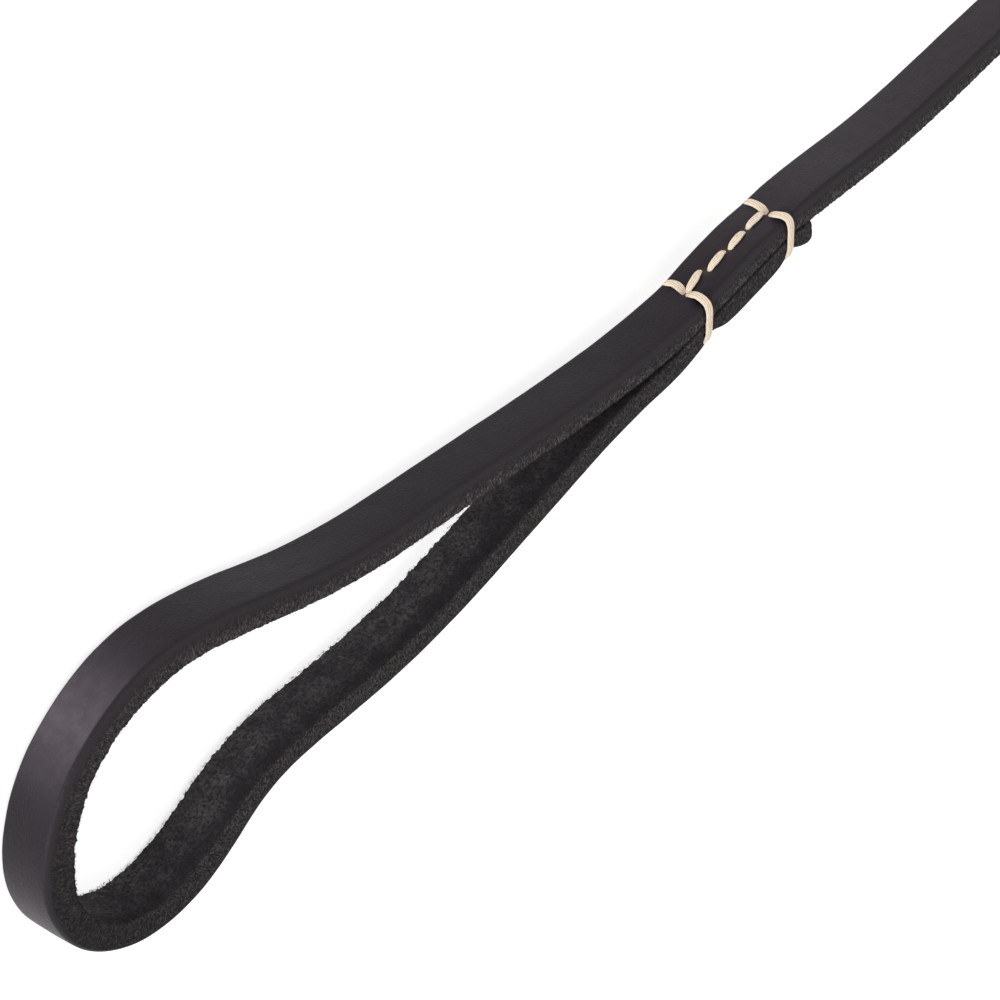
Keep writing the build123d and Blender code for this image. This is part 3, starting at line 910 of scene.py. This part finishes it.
def make_loose_fibres(strap):
    """Short curled fibres on the flesh side and the cut edges, thickest at the corners."""
    line, forward, outward, flesh_half = strap
    fibre_count = 7600
    from_hinge = lengths_along(line) - strap_tail_length
    rawness = strap_rawness(from_hinge)
    draw = random.Random(7)
    fibres = Loft()
    rooted = 0.10
    t = np.linspace(0, 1, 5)[:, None]
    # None grow where the strap bends at the cap, nor on its very end.
    first, last = int(np.searchsorted(from_hinge, 22.0)), len(line) - 12
    for _ in range(fibre_count):
        station = draw.randrange(first, last)
        root, normal, on_corner = fibre_root(
            draw, line[station], outward[station], -flesh_half[station], from_hinge[station]
        )
        ahead = np.array([*forward[station], 0.0])
        side = np.cross(normal, ahead)
        heading = draw.gauss(0, 0.9) + draw.choice((0, math.pi))
        lean = math.cos(heading) * ahead + math.sin(heading) * side
        curl = -math.sin(heading) * ahead + math.cos(heading) * side
        length = draw.uniform(0.2, 0.6)
        stand = draw.uniform(0.12, 0.42) if on_corner else draw.uniform(0.04, 0.14)
        bend = draw.uniform(-0.3, 0.3)
        path = root - normal * rooted + lean * length * t + curl * bend * length * t**2
        path = path + normal * rawness[station] * stand * np.sin(math.pi * t * 0.75)
        sides, ups = cross_frames(path, normal)
        radius = draw.uniform(0.018, 0.040) * (1 - 0.6 * t[:, 0])
        rings, local = tube_rings(path, sides, ups, radius, radius, 3)
        fibres.add(rings, local + root)
    fibres.finish("strap_loose_fibres", "strap", "strap_leather", look="loose_fibres")


# ---- Thread ----
def add_thread(loft, line, ups, half_width, half_height, plies, turns, around=8, grime=0.8):
    """A bundle of twisted plies along a line, flattened to the given half sizes.

    The last argument, from 0 to 1, is how dark the painted shade is on the core and in the valleys between the
    plies.
    """
    sides, ups = squared_up(ups, directions_along(line))
    t = np.linspace(0, 1, len(line))
    # The last sixth of each end is soiled by its hole, and a core fills the bundle; the core and the valleys
    # between the plies get painted shade.
    ends = np.clip(1.0 - np.minimum(t, 1 - t) * 6.0, 0, 1)[:, None] ** 1.5 * 0.9
    ply = half_height * 0.42
    rings, local = tube_rings(line, sides, ups, half_width - ply * 1.2, half_height - ply * 1.1, 10)
    loft.add(rings, local, soil=grime)
    for index in range(plies):
        angle = 2 * math.pi * (index / plies + turns * t)
        offset_side = (half_width - ply) * np.cos(angle)
        offset_up = (half_height - ply) * np.sin(angle)
        path = line + sides * offset_side[:, None] + ups * offset_up[:, None]
        rings, local = tube_rings(path, sides, ups, ply, ply, around)
        # Painted shade on the side of each ply that turns in towards the others.
        outer = np.arctan2(np.sin(angle) * half_width, np.cos(angle) * half_height)
        turned_in = (1 - np.cos(angles_round(around) - outer[:, None])) / 2
        valley = np.clip((turned_in - 0.08) / 0.42, 0, 1) * grime
        apart_in_texture = (index * 7.3, 0, 0)
        loft.add(rings, local + apart_in_texture, soil=np.maximum(ends, valley))


def add_stitch(loft, points, spacing, outward, fullness, width, height, **twist):
    """One stitch: thin where it goes into the leather and swollen between.

    width and height each give the half size at the ends and what the middle adds;
    outward is a direction, or None for away from the crop's axis.
    """
    line = spline_through(points, spacing)
    ups = unit(line * (0, 1, 1)) if outward is None else np.broadcast_to(outward, line.shape)
    swell = np.sin(math.pi * np.linspace(0, 1, len(line))) ** fullness
    half_width, half_height = (end + middle * swell for end, middle in (width, height))
    add_thread(loft, line, ups, half_width, half_height, **twist)


def pair_faces(strap, u):
    """Across the stitched pair at u: the grain faces of the neck side and the free end."""
    before_turn = 200
    half = strap_half + pair_fullness - binding_pinch * near_binding(u, pinch_reach)
    line = strap[0]
    going, ending = line[:len(line) // 2], line[len(line) // 2:]
    low, high = (
        np.interp(u, *side[side[:, 0] < before_turn].T) for side in (going, ending[::-1])
    )
    return low - half, high + half


def make_binding(strap, name, hole, hole_z, over_edge, under_edge, node):
    """Two turns from the middle hole: over the top edge and under the bottom one.

    over_edge gives how far the top turn has moved along the strap at its front
    corner and at its back corner; under_edge says it for the bottom turn's corner.
    """
    low, high = pair_faces(strap, hole)
    edge = strap_width / 2 + 0.12
    front, rear = over_edge
    turns = {1: (0.0, 0.0, -0.15, front, rear), -1: (0.0, -0.35, -0.75, under_edge, under_edge)}
    thread = Loft("soil")
    for side, (start, low_u, mid_u, corner_u, back_u) in turns.items():
        top_z = edge + (0.62 if side > 0 else 0.25)
        side_u = mid_u * 0.4 + corner_u * 0.6
        route = [
            (start, low + 1.0, 0.10), (start, low + 0.1, 0.40), (low_u, low - 0.26, 1.3),
            (mid_u, low - 0.36, 2.6), (side_u, low - 0.22, 3.8), (corner_u, low + 0.40, edge - 0.25),
            (corner_u * 0.85 + back_u * 0.15, low + 1.5, top_z - 0.15),
            (corner_u * 0.5 + back_u * 0.5, (low + high) / 2, top_z),
            (corner_u * 0.15 + back_u * 0.85, high - 1.4, top_z - 0.2),
            (back_u, high - 0.35, edge - 0.25), (back_u * 0.9, high + 0.22, 3.8),
            (back_u * 0.7, high + 0.36, 2.6), (back_u * 0.35, high + 0.26, 1.3),
            (start, high - 0.1, 0.40), (start, high - 1.0, 0.10),
        ]
        points = [(hole + du, y, side * z + hole_z * (1 - z / edge)) for du, y, z in route]
        line = spline_through(points, 0.22)
        middle = np.array([0, (low + high) / 2, 0])
        forward = directions_along(line)
        ups = np.cross(forward, np.array([1.0, 0, 0]))
        ups = ups * np.sign(np.sum(ups * (line - middle) * (0, 1, 1), axis=1, keepdims=True))
        t = np.linspace(0, 1, len(line))
        fill = np.clip(np.minimum(t, 1 - t) * 9.0, 0, 1)
        add_thread(
            thread, line, ups, 0.40 + 0.40 * fill, 0.30 + 0.02 * fill,
            plies=10, turns=0.5, around=10, grime=0.28,
        )
    thread.finish(name, "strap", "ivory_thread", (node,))


def make_saddle_row(strap):
    """The slanting stitches between the bindings, on both faces of the pair."""
    thread = Loft("soil")
    for back, sign in ((0, -1), (1, 1)):
        for (first, first_z), (last, last_z) in stitch_ends:
            levels = [pair_faces(strap, u)[back] for u in (first, (first + last) / 2, last)]
            points = []
            for place, height in ((0.0, -0.70), (0.14, 0.06), (0.5, 0.22), (0.86, 0.06), (1.0, -0.70)):
                level = float(np.interp(place, (0, 0.5, 1), levels))
                z = first_z + (last_z - first_z) * place
                points.append((first + (last - first) * place, level + sign * height, z))
            add_stitch(
                thread, points, 0.2, (0.0, sign, 0.0), 0.8, (0.20, 0.54), (0.18, 0.26),
                plies=9, turns=0.22, around=12, grime=0.7,
            )
    thread.finish("saddle_stitch_thread", "strap", "ivory_thread", ("saddle_stitches",))


# ---- The grip, collars, ferrule and cap ----
def lathe_rings(profile, around):
    """Rings about the X axis from (x, radius) points."""
    x, radius = np.array(profile).T[..., None]
    return round_axis(x, radius, angles_round(around))


def seam_valley(w):
    """How deep the stitches draw the grip's leather down, w from its seam round the grip."""
    return 0.55 * np.exp(-((w / 2.0) ** 2))


def make_grip():
    """The leather sleeve with its butted seam drawn down by the stitches."""
    around = 240
    x = np.arange(grip_fore_x, grip_butt_x + 0.01, 0.75)[:, None]
    # The points crowd towards the seam on top.
    turn = (np.arange(around)[None] + 0.5) / around * 2 - 1
    from_top = math.pi * np.sign(turn) * np.abs(turn) ** 1.7
    angle = math.pi / 2 + from_top
    w = from_top * grip_radius
    slit = 0.55 * np.exp(-((w / 0.28) ** 2))
    first_pull = grip_fore_x + 13.5
    pull = 0.5 + 0.5 * np.cos(2 * math.pi * (x - first_pull) / seam_pitch)
    puckers = 0.18 * pull * np.exp(-(((np.abs(w) - 1.9) / 0.7) ** 2))
    swell = 0.12 * np.sin((x - grip_fore_x) / (grip_butt_x - grip_fore_x) * math.pi)
    radius = sleeve_radius + swell - (seam_valley(w) + slit + puckers)
    rings = round_axis(x, radius, angle)
    soft = lumps(rings, 0.11, 3.0, 2)[..., None]
    rings[..., 1:] *= 1 + 0.006 * soft
    grip = Loft()
    grip.add(rings)
    grip.finish("grip_leather_sleeve", "crop", "grip_leather", ("grip_cover",))


def make_grip_seam():
    """Slanting stitches over the grip's seam."""
    thread = Loft("soil")
    first_x, last_x = grip_fore_x + 12, grip_butt_x - 23
    stitch_length, stitch_slant = 3.0, 4.0
    for index in range(int((last_x - first_x) / seam_pitch)):
        x = first_x + index * seam_pitch
        points = []
        for place, height in ((0, -0.6), (0.15, 0.12), (0.5, 0.18), (0.85, 0.12), (1, -0.6)):
            w = (place - 0.5) * stitch_slant
            level = sleeve_radius - seam_valley(w) + height
            angle = math.pi / 2 - w / grip_radius
            points.append((x + stitch_length * place, level * math.cos(angle), level * math.sin(angle)))
        add_stitch(
            thread, points, 0.22, None, 0.6, (0.22, 0.26), (0.20, 0.10), plies=6, turns=0.25, around=6
        )
    thread.finish("grip_seam_thread", "crop", "ivory_thread", ("grip_seam_stitches",))


def make_knot(name, middle_x, reach, radius_at, bights, leads, lanes, lace_width, node, base):
    """A Turk's head: one lace plaited round the grip, over a plain leather base.

    It swings along the grip bights times in leads turns, rising and dipping as it
    crosses itself; lanes says how many times it follows its own track, side by side.
    """
    knot = Loft()
    knot.add(lathe_rings(base, 96))
    t = np.linspace(0, 2 * math.pi * leads, 150 * leads, endpoint=False)
    swing = bights * t / leads
    x = middle_x + reach * np.cos(swing)
    r = radius_at(x) + 0.50 * np.sin((leads - 1) * swing)
    line = round_axis(x, r, t)
    closed = np.concatenate([line[-2:], line, line[:2]])
    forward = directions_along(closed)[2:-2]
    for lane in range(lanes):
        shift = (lane - (lanes - 1) / 2) * lace_width
        sides, ups = squared_up(unit(line * (0, 1, 1)), forward)
        half_lace = lace_width * 0.48, 0.42
        rings, local = tube_rings(line + sides * shift, sides, ups, *half_lace, 12)
        rings = np.concatenate([rings, rings[:1]])
        local = np.concatenate([local, local[-1:] + (0.5, 0, 0)])
        knot.add(rings, local, cap_start=False, cap_end=False)
    knot.finish(name, "crop", "collar_leather", (node,))


def make_collars():
    """The plaited collars at both ends of the grip."""
    butt_end = grip_butt_x - 6.0
    butt_start = butt_end - 11.0
    butt_middle = (butt_start + butt_end) / 2
    inside, shoulder, top = grip_radius - 0.2, grip_radius + 0.5, grip_radius + 1.0
    base = [
        (butt_start, inside), (butt_start, shoulder), (butt_start + 1.5, top),
        (butt_end - 1.5, top), (butt_end, shoulder), (butt_end, inside),
    ]
    make_knot(
        "collar_butt_plait", butt_middle, 4.0,
        lambda x: grip_radius + 1.45 - 0.03 * (x - butt_middle) ** 2,
        11, 3, 2, 1.6, "collar_butt", base,
    )
    fore = grip_fore_x
    profile = [
        (fore - 12.0, cover_radius), (fore - 11.7, 5.2), (fore - 10.6, 6.3), (fore - 9.0, 7.4),
        (fore - 7.0, 8.7), (fore - 4.5, 9.9), (fore - 1.5, 10.7), (fore + 2.5, 10.8),
        (fore + 5.2, 10.2), (fore + 6.0, 9.6),
    ]
    make_knot(
        "collar_fore_plait", fore - 0.6, 5.6,
        lambda x: 11.45 - 0.027 * (x - fore - 0.8) ** 2,
        9, 4, 3, 1.2, "collar_fore", profile,
    )


def make_ferrule():
    """A nickel ring with two rolled beads and a milled band between them."""
    around = 240
    start, end = grip_butt_x - 5.0, grip_butt_x
    x = np.linspace(start, end, 41)[:, None]
    angle = angles_round(around)[None]
    place = (x - start) / (end - start)
    beads = sum(0.42 * np.exp(-(((place - bead) / 0.10) ** 2)) for bead in (0.14, 0.86))
    band = np.clip(1 - np.abs(place - 0.5) / 0.22, 0, 1) ** 0.3
    teeth = np.sin(angle * 60)
    milled = 0.07 * band * np.sign(teeth) * np.abs(teeth) ** 0.5
    radius = grip_radius + 0.72 + beads + milled
    rings = round_axis(x, radius, angle)
    inner = lathe_rings([(end, sleeve_radius), (start, sleeve_radius)], around)
    ring = Loft()
    ring.add(np.concatenate([rings, inner, rings[:1]]), cap_start=False, cap_end=False)
    ring.finish("butt_ferrule_ring", "crop", "nickel", ("butt_ferrule",))


def mesh_object(name, rings):
    """A plain closed object in the crop's frame, for cutting and bevelling."""
    loft = Loft()
    loft.add(rings)
    mesh = bpy.data.meshes.new(name)
    mesh.from_pydata((np.concatenate(loft.points) * MM).tolist(), [], loft.faces)
    made = bpy.data.objects.new(name, mesh)
    bpy.context.scene.collection.objects.link(made)
    return made


def rounded_slot(x_low, x_high, half_y, half_z, corner):
    """A prism along X with a rounded rectangular section."""
    section = []
    for quarter, (sy, sz) in enumerate(((1, 1), (-1, 1), (-1, -1), (1, -1))):
        for step in range(5):
            angle = math.pi / 2 * (quarter + step / 4)
            section.append((
                sy * (half_y - corner) + corner * math.cos(angle),
                sz * (half_z - corner) + corner * math.sin(angle),
            ))
    section = np.array(section)
    rings = [np.column_stack([np.full(len(section), x), section]) for x in (x_low, x_high)]
    return np.stack(rings)


def cross_rings(radius, y_low, y_high):
    """A short cylinder along Y through the rivet's place."""
    angle = angles_round(48)
    ring = np.stack([rivet_x + radius * np.sin(angle), 0 * angle, radius * np.cos(angle)], axis=-1)
    return np.stack([ring + (0, y_low, 0), ring + (0, y_high, 0)])


def cap_outline():
    """The cap's turned outline: a flared barrel with a groove, a round shoulder, a dished face."""
    outline = [(grip_butt_x, 0.01), (grip_butt_x, 10.2), (grip_butt_x + 0.4, 10.6)]
    for step in range(13):
        x = grip_butt_x + 1.0 + step * 0.72
        groove = 0.35 if step in (3, 4) else 0.0
        outline.append((x, 10.75 + 1.2 * (step / 12) ** 1.2 - groove))
    for step in range(1, 15):
        angle = math.pi / 2 * step / 14
        outline.append((
            cap_wide_x + (cap_face_x - cap_wide_x) * math.sin(angle) ** 1.15,
            8.2 + 3.8 * math.cos(angle) ** 0.9,
        ))
    for ring in (7.2, 6.8, 6.4, 5.2, 2.6, 0.01):
        outline.append((cap_face_x - (0.25 if ring in (6.8, 6.4) else 0.0), ring))
    return outline


def carve(piece, cutters, corner_size):
    """Cuts the cutters out of a piece, eases its corners and gives the resulting mesh."""
    for cutter in cutters:
        cutting = piece.modifiers.new("cut", "BOOLEAN")
        cutting.object = cutter
        cutting.operation = "DIFFERENCE"
        cutting.solver = "EXACT"
    eased = piece.modifiers.new("ease", "BEVEL")
    eased.width = corner_size * MM
    eased.segments = 3
    eased.limit_method = "ANGLE"
    eased.angle_limit = math.radians(48)
    mesh = bpy.data.meshes.new_from_object(piece.evaluated_get(bpy.context.evaluated_depsgraph_get()))
    for made in [piece, *cutters]:
        bpy.data.objects.remove(made)
    return mesh


def make_cap():
    """The moulded cap, with its slot, its rivet seats and eased edges."""
    seat_radius, outside = 3.3, 14
    slot_depth, slot_half_y, slot_half_z, slot_corner = 12.5, 2.2, 5.3, 0.7
    slot = rounded_slot(cap_face_x - slot_depth, cap_face_x + 2, slot_half_y, slot_half_z, slot_corner)
    cap = mesh_object("butt_cap_moulding", lathe_rings(cap_outline(), 128))
    cutters = [
        mesh_object("slot_cutter", slot),
        mesh_object("seat_cutter", cross_rings(seat_radius, rivet_seat, outside)),
        mesh_object("seat_cutter_back", cross_rings(seat_radius, -outside, -rivet_seat)),
    ]
    mesh = carve(cap, cutters, 0.3)
    mesh.transform(crop_place)
    mesh.materials.clear()
    finish_piece("butt_cap_moulding", mesh, "crop", "cap_plastic", ("butt_cap",))
    mesh.set_sharp_from_angle(angle=math.radians(40))


def rivet_rings(sign, shank_end):
    """A domed head with a struck rim, on a shank reaching to shank_end."""
    profile = [(shank_end, 0.01), (shank_end, 1.5), (rivet_seat - 0.05, 1.5), (rivet_seat - 0.05, 2.85)]
    for step in range(13):
        angle = math.pi / 2 * step / 12
        profile.append((rivet_seat + 0.2 + 1.25 * math.sin(angle), 0.01 + 2.95 * math.cos(angle) ** 0.8))
    angle = angles_round(64)
    y, r = np.array(profile).T[..., None]
    return np.stack([rivet_x + r * np.cos(angle) * sign, y * sign + 0 * angle, -r * np.sin(angle)], axis=-1)


def make_rivet():
    for name, sign, shank_end, node in (
        ("rivet_post_head", -1, -10.9, "rivet_post"), ("rivet_cap_head", 1, 9.0, "rivet_cap")
    ):
        rivet = Loft()
        rivet.add(rivet_rings(sign, shank_end))
        rivet.finish(name, "crop", "nickel", (node,))


# ---- The shaft ----
def cover_radius_at(x):
    taper = np.clip((cover_taper_x - x) / (cover_taper_x - cover_tip_x), 0, 1)
    return cover_radius + (cover_tip_radius - cover_radius) * taper


def make_braid():
    """Eight strands each way, passing over and under each other down the tapered rod."""
    strands = 8
    step = 0.42
    x = np.arange(grip_fore_x - 8.0, cover_tip_x - 0.1, -step)
    radius = cover_radius_at(x)
    lay = 2 * math.pi * radius * 1.05       # how far the strands go forward in one turn
    turned = np.concatenate([[0], np.cumsum(2 * math.pi * step / lay[1:])])
    braid = Loft("across")
    under_strands = 0.62
    base = [(value, cover_radius_at(value) - under_strands) for value in np.linspace(x[0], x[-1], 60)]
    braid.add(lathe_rings(base, 32), across=0.25)
    thickness = 0.26
    weave = 0.19
    half_width = np.maximum(math.pi * radius / strands / math.sqrt(2) * 0.96, 0.4)
    for way in (1, -1):
        for strand in range(strands):
            start = 2 * math.pi * strand / strands
            crossings = strands * (2 * turned + way * start) / (2 * math.pi)
            over = np.cos(math.pi * crossings) * (1 if strand % 2 == 0 else -1) * way
            r = radius - thickness - weave + weave * over
            angle = start + way * turned
            line = round_axis(x, r, angle)
            sides, ups = squared_up(unit(line * (0, 1, 1)), directions_along(line))
            rings, local = tube_rings(line, sides, ups, half_width, thickness, 10)
            across = local[..., 1] / half_width[:, None]
            braid.add(rings, local + (0, strand * 5.1, way * 3.3), across=across)
    braid.finish("shaft_braid", "crop", "braid", ("shaft_cover",))


def make_whipping():
    """One waxed thread of three plies wound close over the shaft's end."""
    pitch = 0.84
    points_a_turn = 34
    turns = (whipping_end_x - bound_end_x - 1.0) / pitch
    t = np.linspace(0, 2 * math.pi * turns, int(turns * points_a_turn))
    x = bound_end_x + 0.5 + pitch * t / (2 * math.pi)
    r = 2.95 + 0.02 * np.sin(t * 0.37)
    line = round_axis(x, r, t)
    ups = unit(line * (0, 1, 1))
    winding = Loft("soil")
    start, end = bound_end_x + 0.15, whipping_end_x - 0.15
    winding.add(lathe_rings([(start, 1.4), (start, 2.75), (end, 2.75), (end, 2.2)], 32))
    sides = np.cross(ups, directions_along(line))
    ply_radius = 0.27
    ply_offset = 0.17
    for ply in range(3):
        angle = (2 * math.pi * ply / 3 + t * 1.5)[:, None]
        path = line + sides * (ply_offset * np.cos(angle)) + ups * (ply_offset * np.sin(angle))
        rings, local = tube_rings(path, sides, ups, ply_radius, ply_radius, 6)
        winding.add(rings, local + (0, ply * 4.0, 0))
    winding.finish("tip_whipping_thread", "crop", "whipping_thread", ("tip_whipping",))


# ---- The keeper ----
def leaf_half_width(x):
    """Half the keeper's width: a bound neck, a flare, nearly parallel sides, round corners."""
    shoulder = keeper_half_width - 1.5
    eased = spread_between(keeper_hinge_x - 2 - x, 0.0, 25.0)
    neck = 2.2 + 1.0 * np.clip((keeper_hinge_x + 2.5 - x) / 4.5, 0, 1)
    along = np.clip((keeper_hinge_x - 27 - x) / 68.0, 0, 1)
    full = neck + (shoulder - neck) * eased + 1.5 * along
    corner = 6.0
    into_corner = np.clip(corner - (x - keeper_end_x), 0, corner)
    return full - (corner - np.sqrt(np.maximum(corner**2 - into_corner**2, 0.0)))


def make_leaf(side):
    """One leaf: grain outside, flesh inside, eased corners a little lighter as painted reflection, and slightly
    ragged edges.
    """
    x = np.concatenate([
        keeper_end_x + 6 * (1 - np.cos(np.linspace(0, math.pi / 2, 26))),
        np.arange(keeper_end_x + 6.5, bound_end_x + 6.0, 0.5),
    ])[::-1]
    width = leaf_half_width(x)
    half = (keeper_half - leaf_gap / 2) / 2
    bevel = np.minimum(0.7, width * 0.3)
    across, up, cut, flesh, eased = strap_profile(half, half, width, {1: bevel, -1: bevel}, 0.2)
    # The whipping squeezes the bound ends thinner.
    squeezed = (np.clip((x - keeper_hinge_x + 3) / 6.0, 0, 1) * 0.35)[:, None]
    local = unbent(x, across, up)
    ragged = lumps(local * (0.8, 1, 1), 1.6, 31.0 + side, 3)
    push = ragged * (0.015 + 0.06 * np.maximum(cut, flesh * 0.5))
    level = side * (leaf_gap / 2 + half) + side * (across * (1 - squeezed)) - side * squeezed * 0.25
    level = level + side * push * np.sign(across)
    stitch_row = width[:, None] - keeper_stitch_inset
    trough = 0.16 * np.exp(-(((np.abs(up) - stitch_row) / 0.8) ** 2)) * (across > half - 0.3)
    trough = trough * ((x < keeper_hinge_x - 25) & (x > keeper_end_x + 3))[:, None]
    level = level - side * trough
    sideways = (up + push * np.sign(up) * (np.abs(up) > width[:, None] - 0.8)) * -side
    rings = unbent(x, sideways, level)
    leaf = Loft("cut", "flesh", "bevel")
    leaf.add(rings, local, cut=cut, flesh=flesh, bevel=eased * 0.5)
    name = "upper" if side > 0 else "lower"
    nodes = (f"keeper_leaf_{name}",) if side > 0 else (f"keeper_leaf_{name}", "keeper_tongue")
    piece = leaf.finish(f"keeper_{name}_leather", "keeper", "keeper_leather", nodes, rides=False)
    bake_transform(piece)


def keeper_stitch_line():
    """The row of holes: down one side, across the end and back up the other side."""
    half = keeper_half_width - keeper_stitch_inset
    near_x = keeper_hinge_x - 27
    near_y = half - 1.2
    far_x = keeper_end_x + keeper_stitch_inset
    corner = 3.4
    route = [(near_x, near_y), (far_x + corner, half)]
    for step in range(1, 8):
        angle = math.pi / 2 * step / 8
        route.append((far_x + corner * (1 - math.sin(angle)), half - corner * (1 - math.cos(angle))))
    route.append((far_x, half - corner))
    return route + [(x, -y) for x, y in reversed(route)]


def make_keeper_stitching():
    """Saddle stitches through both leaves, showing on both outer faces."""
    stitches = 40
    holes = evenly_along(np.array(keeper_stitch_line()), stitches + 1)
    thread = Loft("soil")
    for side in (1, -1):
        level = side * keeper_half
        for start, end in zip(holes, holes[1:]):
            gap, slant = 0.07, 0.22
            ahead = end - start
            across = np.array([-ahead[1], ahead[0]]) / np.linalg.norm(ahead) * slant
            first, last = start + ahead * gap + across, end - ahead * gap - across
            points = []
            for place, height in ((0, -0.55), (0.2, 0.02), (0.5, 0.06), (0.8, 0.02), (1, -0.55)):
                x, y = first + (last - first) * place
                points.append((x, y, level + side * (height - 0.08)))
            add_stitch(
                thread, points, 0.3, (0.0, 0.0, side), 0.6, (0.24, 0.24), (0.20, 0.06),
                plies=6, turns=0.25, around=6,
            )
    thread.finish("keeper_stitch_thread", "keeper", "ivory_thread", ("keeper_stitches",))


# ---- Making everything ----
def paint_node(name, slot):
    """Gives a CAD node that stays in view its own material."""
    mesh = frame["nodes"][name].data
    mesh.materials.clear()
    mesh.materials.append(materials[slot])


make_camera()
make_studio()
make_floor()

strap = make_strap()
make_loose_fibres(strap)
make_binding(strap, "binding_neck_thread", stitch_holes[0], 1.3, (-0.7, 1.2), -1.05, "binding_stitch_neck")
make_binding(strap, "binding_loop_thread", stitch_holes[-1], 0.45, (0.0, 2.2), -0.65, "binding_stitch_loop")
make_saddle_row(strap)

make_grip()
make_grip_seam()
make_collars()
make_ferrule()
make_cap()
make_rivet()
make_braid()
make_whipping()
make_leaf(1)
make_leaf(-1)
make_keeper_stitching()
paint_node("handle_core", "handle_wood")
paint_node("shaft_core", "fibreglass")
